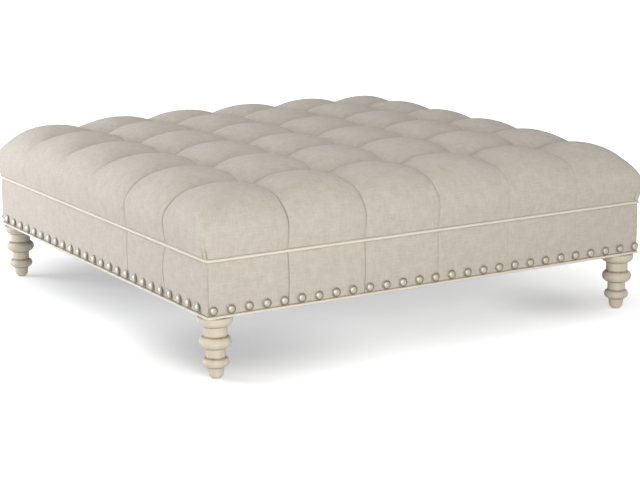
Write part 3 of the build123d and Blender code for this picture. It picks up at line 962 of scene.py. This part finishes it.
def welt_tube(level, line):
    """A corded tube round the table at a level, its own line that far from the middle."""
    trim = bpy.context.scene.ottoman_trim
    deselect_all()
    bpy.ops.mesh.primitive_plane_add(size=2 * line, location=(0, 0, level))
    piece = bpy.context.object
    edit_all()
    bpy.ops.mesh.delete(type="ONLY_FACE")
    bpy.ops.mesh.select_all(action="SELECT")
    bpy.ops.mesh.bevel(offset=trim.welt_corner, affect="VERTICES", segments=WELT_CORNER_STEPS)
    bpy.ops.object.mode_set(mode="OBJECT")
    for edge in piece.data.edges:
        ends = [piece.data.vertices[v].co for v in edge.vertices]
        edge.select = (ends[0] - ends[1]).length > line
    bpy.ops.object.mode_set(mode="EDIT")
    bpy.ops.mesh.select_mode(type="EDGE")
    bpy.ops.mesh.subdivide(number_cuts=WELT_STEPS)
    bpy.ops.mesh.select_all(action="SELECT")
    bpy.ops.transform.vertex_random(offset=WELT_WOBBLE, uniform=0.0, normal=0.0, seed=11)
    bpy.ops.object.mode_set(mode="OBJECT")
    bpy.ops.object.convert(target="CURVE")
    piece.data.bevel_depth = trim.welt_diameter / 2
    piece.data.bevel_resolution = 3
    bpy.ops.object.convert(target="MESH")
    bpy.ops.object.transform_apply(location=True, rotation=True, scale=True)
    return bpy.context.object


def welt_tape(level, half):
    """The flat tape inside a welt, from a level up."""
    deselect_all()
    bpy.ops.mesh.primitive_plane_add(size=2 * half, location=(0, 0, level))
    edit_all()
    bpy.ops.mesh.inset(thickness=TAPE_WIDTH)
    bpy.ops.mesh.delete(type="FACE")
    bpy.ops.mesh.select_all(action="SELECT")
    bpy.ops.mesh.extrude_region_move(TRANSFORM_OT_translate={"value": (0, 0, TAPE_THICKNESS)})
    bpy.ops.mesh.select_all(action="SELECT")
    bpy.ops.mesh.normals_make_consistent(inside=False)
    bpy.ops.object.mode_set(mode="OBJECT")
    bpy.ops.object.transform_apply(location=True, rotation=True, scale=True)
    return bpy.context.object


def build_welt(name, level, tape_level):
    """A corded welt round the table as one closed tube, with its flat tape inside."""
    trim = bpy.context.scene.ottoman_trim
    line = UPPER_WELT_HIGH.x - trim.welt_diameter / 2
    tube = welt_tube(level, line)
    tape = welt_tape(tape_level, line - trim.welt_diameter / 4)
    tape.select_set(True)
    tube.select_set(True)
    bpy.context.view_layer.objects.active = tube
    bpy.ops.object.join()
    bpy.ops.object.shade_smooth_by_angle(angle=math.radians(50))
    tube.name = name
    return tube


class OTTOMAN_OT_welts(Operator):
    """Build the two corded welts"""

    bl_idname = "ottoman.welts"
    bl_label = "Welts"

    def execute(self, context):
        inset = WELT_LIP + context.scene.ottoman_trim.welt_diameter / 2
        upper = build_welt("welt_upper", UPPER_WELT_HIGH.z - inset, UPPER_WELT_HIGH.z - TAPE_THICKNESS)
        dress(upper, welt_cloth(), "welt_cotton", "upper_welt")
        lower = build_welt("welt_lower", LOWER_WELT_LOW.z + inset, LOWER_WELT_LOW.z)
        dress(lower, welt_cloth(), "welt_cotton", "lower_welt")
        return {"FINISHED"}


# The nail heads

# Rings of a nail head from its edge to its crown, as shares of its radius and of its height
NAIL_RINGS = (
    (1.0, 0.1), (0.97, 0.2), (0.9, 0.25), (0.83, 0.22), (0.75, 0.46), (0.61, 0.7), (0.42, 0.88), (0.2, 0.97)
)
# Where the groove lies, as a share of the radius, and how far its painted shade spreads
NAIL_GROOVE = 0.83
NAIL_GROOVE_SHADE_WIDTH = 0.09
NAIL_SIDES = 18
# How unevenly the nails are driven in: degrees of tilt, and metres up or down
NAIL_TILT = 2.5
NAIL_DROP = 0.0005


def nail_head():
    """One nail head on the plane Z = 0: a thin rim, a groove inside it, and a dome."""
    trim = bpy.context.scene.ottoman_trim
    deselect_all()
    bpy.ops.mesh.primitive_circle_add(vertices=NAIL_SIDES, radius=trim.nail_radius, fill_type="NGON")
    edit_all()
    reach, level = 1.0, 0.0
    for next_reach, next_level in NAIL_RINGS:
        rise = (next_level - level) * trim.nail_height
        bpy.ops.mesh.extrude_region_move(TRANSFORM_OT_translate={"value": (0, 0, rise)})
        ratio = next_reach / reach
        bpy.ops.transform.resize(value=(ratio, ratio, 1))
        reach, level = next_reach, next_level
    bpy.ops.transform.translate(value=(0, 0, (1 - level) * trim.nail_height))
    bpy.ops.mesh.extrude_region_move(TRANSFORM_OT_translate={"value": (0, 0, 0)})
    bpy.ops.mesh.merge(type="CENTER")
    bpy.ops.mesh.select_all(action="SELECT")
    bpy.ops.mesh.normals_make_consistent(inside=False)
    bpy.ops.object.mode_set(mode="OBJECT")
    bpy.ops.object.shade_smooth_by_angle(angle=math.radians(60))
    piece = bpy.context.object
    # Dulled metal and painted shade at the outer edge and in the groove
    reaches = [v.co.xy.length / trim.nail_radius for v in piece.data.vertices]
    nail_shade = [bell(reach - NAIL_GROOVE, NAIL_GROOVE_SHADE_WIDTH) for reach in reaches]
    mark_shade_and_patina(piece, [1.0 if reach > 0.99 else share for reach, share in zip(reaches, nail_shade)])
    return piece


class OTTOMAN_OT_nail_heads(Operator):
    """Model one nail head and set the rows of them along the apron"""

    bl_idname = "ottoman.nail_heads"
    bl_label = "Nail Heads"

    def execute(self, context):
        pattern = nail_head()
        level = (NAILS_LOW.z + NAILS_HIGH.z) / 2
        draw = random.Random(5)
        upright = Matrix.Rotation(math.pi / 2, 4, "X")
        for number, side in enumerate(SIDES):
            deselect_all()
            turn = Matrix.Rotation(number * math.pi / 2, 4, "Z")
            copies = []
            for x in nail_places(side):
                copy = bpy.data.objects.new(f"nails_row_{side}", pattern.data.copy())
                context.collection.objects.link(copy)
                tilt = Matrix.Rotation(math.radians(draw.uniform(-NAIL_TILT, NAIL_TILT)), 4, "Y")
                tilt = tilt @ Matrix.Rotation(math.radians(draw.uniform(-NAIL_TILT, NAIL_TILT)), 4, "X")
                drop = draw.uniform(-NAIL_DROP, NAIL_DROP)
                spin = Matrix.Rotation(draw.uniform(0, math.pi), 4, "Z")
                place = Matrix.Translation((x, APRON_LOW.y, level + drop))
                copy.data.transform(turn @ place @ upright @ tilt @ spin)
                copy.select_set(True)
                copies.append(copy)
            context.view_layer.objects.active = copies[0]
            bpy.ops.object.join()
            row = context.object
            row.name = f"nail_heads_{side}"
            dress(row, nickel(), "nickel", f"nails_{side}")
        bpy.data.objects.remove(pattern)
        return {"FINISHED"}


# The dust cover

DUST_DIVISIONS = 64
DUST_THICKNESS = 0.0006
# How wide it lies tacked to the rails, how deep it sags and ripples between them, and the ripples' closeness
DUST_TACKED = 0.110
DUST_SAG = 0.003
DUST_RIPPLE = 0.0006
DUST_WAVES = (31, 27)


class OTTOMAN_OT_dust_cover(Operator):
    """Stretch the cambric under the frame"""

    bl_idname = "ottoman.dust_cover"
    bl_label = "Dust Cover"

    def execute(self, context):
        deselect_all()
        width = DUST_HIGH.x - DUST_LOW.x
        level = (DUST_LOW.z + DUST_HIGH.z) / 2
        bpy.ops.mesh.primitive_grid_add(
            x_subdivisions=DUST_DIVISIONS, y_subdivisions=DUST_DIVISIONS, size=width, location=(0, 0, level)
        )
        bpy.ops.object.transform_apply(location=True)
        piece = context.object
        piece.name = "dust_cloth"
        held = RAIL_HIGH.x - DUST_TACKED
        for vertex in piece.data.vertices:
            x, y = vertex.co.x, vertex.co.y
            free = max(0.0, 1 - (x / held) ** 2) * max(0.0, 1 - (y / held) ** 2)
            ripple = DUST_RIPPLE * math.sin(x * DUST_WAVES[0] + 1.3) * math.sin(y * DUST_WAVES[1])
            vertex.co.z += ripple * min(1.0, 3 * free) - DUST_SAG * free
        flat = [tuple(vertex.co.xy) for vertex in piece.data.vertices]
        give_cloth_map(piece, [flat[loop.vertex_index] for loop in piece.data.loops])
        thick = piece.modifiers.new("Thickness", "SOLIDIFY")
        thick.thickness = DUST_THICKNESS
        thick.offset = 0
        apply_modifiers(piece)
        piece.data.shade_smooth()
        dress(piece, plain_finish("black_cambric"), "cambric", "dust_cover")
        return {"FINISHED"}


# The CAD nodes that stay

PLAIN_NODES = {
    "softwood_timber": [
        *(f"{side}_rail" for side in SIDES), "corner_blocks", *(f"deck_bearer_{k}" for k in (1, 2, 3, 4))
    ],
    "deck_plywood": ["deck_board"],
    "upholstery_foam": ["foam_blocks"],
    "tufting_twine": ["tuft_ties"],
    "zinc_plated_steel": ["hanger_bolts", "t_nuts"],
    "nylon_glide": ["leg_glides"],
}


class OTTOMAN_OT_frame_finishes(Operator):
    """Give the legs, the frame, the foam and the fixings their finishes"""

    bl_idname = "ottoman.frame_finishes"
    bl_label = "Legs and Frame"

    def execute(self, context):
        finishes = {f"leg_{corner}": washed_wood() for corner in CORNERS}
        for name, nodes in PLAIN_NODES.items():
            finishes.update(dict.fromkeys(nodes, plain_finish(name)))
        for node, material in finishes.items():
            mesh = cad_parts[node].data
            mesh.materials.clear()
            mesh.materials.append(material)
        return {"FINISHED"}


# The studio

CAMERA_PLACE = (-2.4467, -4.1596, 1.2143)
CAMERA_AZIMUTH = math.radians(-30.907)
CAMERA_ELEVATION = math.radians(12.518)
CAMERA_ROLL = math.radians(-0.422)
FLOOR_SIZE = 80.0
FLOOR_PALE = 0.82
# How white the floor glows by itself, lower under the table as a painted shadow and full away from it, and
# where that changes
FLOOR_GLOW_AND_SHADOW = (0.53, 1.0)
FLOOR_SPREAD = (0.4, 1.6)
# Painted shadow in softer, darker pools by the legs: place, reach and depth
FLOOR_SHADOW_POOLS = (
    ((-0.5, -0.45), 0.46, 0.33),
    ((-0.26, 0.6), 0.9, 0.22),
    ((-0.4, 0.68), 0.22, 0.14),
    ((0.51, -0.47), 0.25, 0.2),
)
# The lights: size, place and tint
LIGHT_TARGET = (0, 0, 0.3)
LIGHTS = (
    ("left", 2.0, 1.0, (-2.9, 2.4, 0.75), (0.965, 0.985, 1.06)),
    ("corner", 2.0, 1.4, (-2.8, -2.8, 1.2), (1, 1, 1)),
    ("front", 2.4, 1.6, (-1.3, -4.0, 1.2), (1, 1, 0.97)),
    ("above", 2.4, 2.4, (-1.2, 0.6, 2.8), (1, 1, 1)),
)


def aim_camera(camera):
    """Sets the camera at the photograph's place and angle."""
    a, e, r = CAMERA_AZIMUTH, CAMERA_ELEVATION, CAMERA_ROLL
    back = Vector((math.sin(a) * math.cos(e), -math.cos(a) * math.cos(e), math.sin(e)))
    level_right = Vector((0, 0, 1)).cross(back).normalized()
    level_up = back.cross(level_right)
    right = math.cos(r) * level_right + math.sin(r) * level_up
    up = math.cos(r) * level_up - math.sin(r) * level_right
    turn = Matrix((right, up, back)).transposed().to_4x4()
    camera.matrix_world = Matrix.Translation(CAMERA_PLACE) @ turn


def seen_directly(tree):
    """1 for what the camera, a mirror or a pane shows, and 0 for what only gives light."""
    rays = add_node(tree, "LightPath").outputs
    seen = math_node(tree, "MAXIMUM", rays["Is Camera Ray"], rays["Is Glossy Ray"])
    return math_node(tree, "MAXIMUM", seen, rays["Is Transmission Ray"])


def floor_finish():
    """White to the camera, with the table's shadow painted in, and plain and pale to the light."""
    material = bpy.data.materials.new("studio_floor")
    material.use_nodes = True
    tree = material.node_tree
    bsdf = tree.nodes["Principled BSDF"]
    seen = seen_directly(tree)
    tree.links.new(blend_colours(tree, seen, (FLOOR_PALE,) * 3, (1, 1, 1)), bsdf.inputs["Base Color"])
    place = add_node(tree, "TexCoord").outputs["Object"]
    parts = add_node(tree, "SeparateXYZ", {0: place}).outputs
    across, along = (math_node(tree, "ABSOLUTE", parts[axis]) for axis in "XY")
    # The glow is lowered under the table and by the legs as a painted shadow
    glow_and_shadow = stretch(tree, math_node(tree, "MAXIMUM", across, along), *FLOOR_SPREAD, *FLOOR_GLOW_AND_SHADOW)
    for centre, reach, depth in FLOOR_SHADOW_POOLS:
        away = add_node(tree, "VectorMath", {0: place, 1: (*centre, 0)}, operation="DISTANCE")
        pool_shadow = stretch(tree, away.outputs["Value"], 0.0, reach, depth, 0.0)
        glow_and_shadow = math_node(tree, "SUBTRACT", glow_and_shadow, pool_shadow)
    bsdf.inputs["Roughness"].default_value = 1.0
    bsdf.inputs["Specular IOR Level"].default_value = 0.0
    bsdf.inputs["Emission Color"].default_value = (1, 1, 1, 1)
    tree.links.new(math_node(tree, "MULTIPLY", seen, glow_and_shadow), bsdf.inputs["Emission Strength"])
    return material


def area_light(name, power, width, height, place, tint, target):
    """A large soft light that looks at a point."""
    lamp = bpy.data.lights.new(name, "AREA")
    lamp.shape = "RECTANGLE"
    lamp.size = width
    lamp.size_y = height
    lamp.energy = power
    lamp.color = tint
    holder = bpy.data.objects.new(name, lamp)
    bpy.context.collection.objects.link(holder)
    holder.location = place
    holder.rotation_euler = (Vector(target) - Vector(place)).to_track_quat("-Z", "Y").to_euler()
    return holder


class OTTOMAN_OT_studio(Operator):
    """Set up the floor, the light and the camera"""

    bl_idname = "ottoman.studio"
    bl_label = "Studio"

    def execute(self, context):
        studio = context.scene.ottoman_studio
        deselect_all()
        bpy.ops.mesh.primitive_plane_add(size=FLOOR_SIZE, location=(0, 0, 0))
        floor = context.object
        floor.name = "studio_floor"
        floor.data.materials.append(floor_finish())
        for name, *shape in LIGHTS:
            area_light(f"{name}_light", getattr(studio, name), *shape, LIGHT_TARGET)
        world = bpy.data.worlds.new("studio_surround")
        world.use_nodes = True
        tree = world.node_tree
        background = tree.nodes["Background"]
        background.inputs["Color"].default_value = (1, 1, 1, 1)
        levels = {"Value": seen_directly(tree), "To Min": studio.sky, "To Max": 1.0}
        level = add_node(tree, "MapRange", levels)
        tree.links.new(level.outputs["Result"], background.inputs["Strength"])
        context.scene.world = world
        lens = bpy.data.cameras.new("studio_camera")
        lens.sensor_width = 36.0
        lens.lens = studio.lens
        lens.clip_end = 200.0
        camera = bpy.data.objects.new("studio_camera", lens)
        context.collection.objects.link(camera)
        aim_camera(camera)
        context.scene.camera = camera
        context.scene.view_settings.view_transform = "Standard"
        return {"FINISHED"}


class OTTOMAN_PT_pieces(Panel):
    """The pieces of the table, in the order in which they are made"""

    bl_idname = "OTTOMAN_PT_pieces"
    bl_label = "Tufted Ottoman"
    bl_space_type = "VIEW_3D"
    bl_region_type = "UI"
    bl_category = "Ottoman"

    def draw(self, context):
        for operator in OPERATORS:
            self.layout.operator(operator.bl_idname)
        for name in SETTINGS:
            box = self.layout.box()
            settings = getattr(context.scene, name)
            for item in settings.bl_rna.properties:
                if item.identifier not in ("rna_type", "name"):
                    box.prop(settings, item.identifier)


OPERATORS = (
    OTTOMAN_OT_studio,
    OTTOMAN_OT_frame_finishes,
    OTTOMAN_OT_cover,
    OTTOMAN_OT_apron,
    OTTOMAN_OT_welts,
    OTTOMAN_OT_nail_heads,
    OTTOMAN_OT_dust_cover,
)
SETTINGS = {
    "ottoman_cover": CoverSettings,
    "ottoman_trim": TrimSettings,
    "ottoman_finish": FinishSettings,
    "ottoman_studio": StudioSettings,
}


def register():
    """Adds the settings, the operators and the panel to Blender."""
    for name, settings in SETTINGS.items():
        bpy.utils.register_class(settings)
        setattr(bpy.types.Scene, name, PointerProperty(type=settings))
    for item in (*OPERATORS, OTTOMAN_PT_pieces):
        bpy.utils.register_class(item)


def unregister():
    """Takes them out again."""
    for item in (OTTOMAN_PT_pieces, *reversed(OPERATORS)):
        bpy.utils.unregister_class(item)
    for name, settings in SETTINGS.items():
        delattr(bpy.types.Scene, name)
        bpy.utils.unregister_class(settings)


def main():
    """Makes every piece in order."""
    register()
    for operator in OPERATORS:
        group, action = operator.bl_idname.split(".")
        getattr(getattr(bpy.ops, group), action)()


if __name__ == "__main__":
    main()
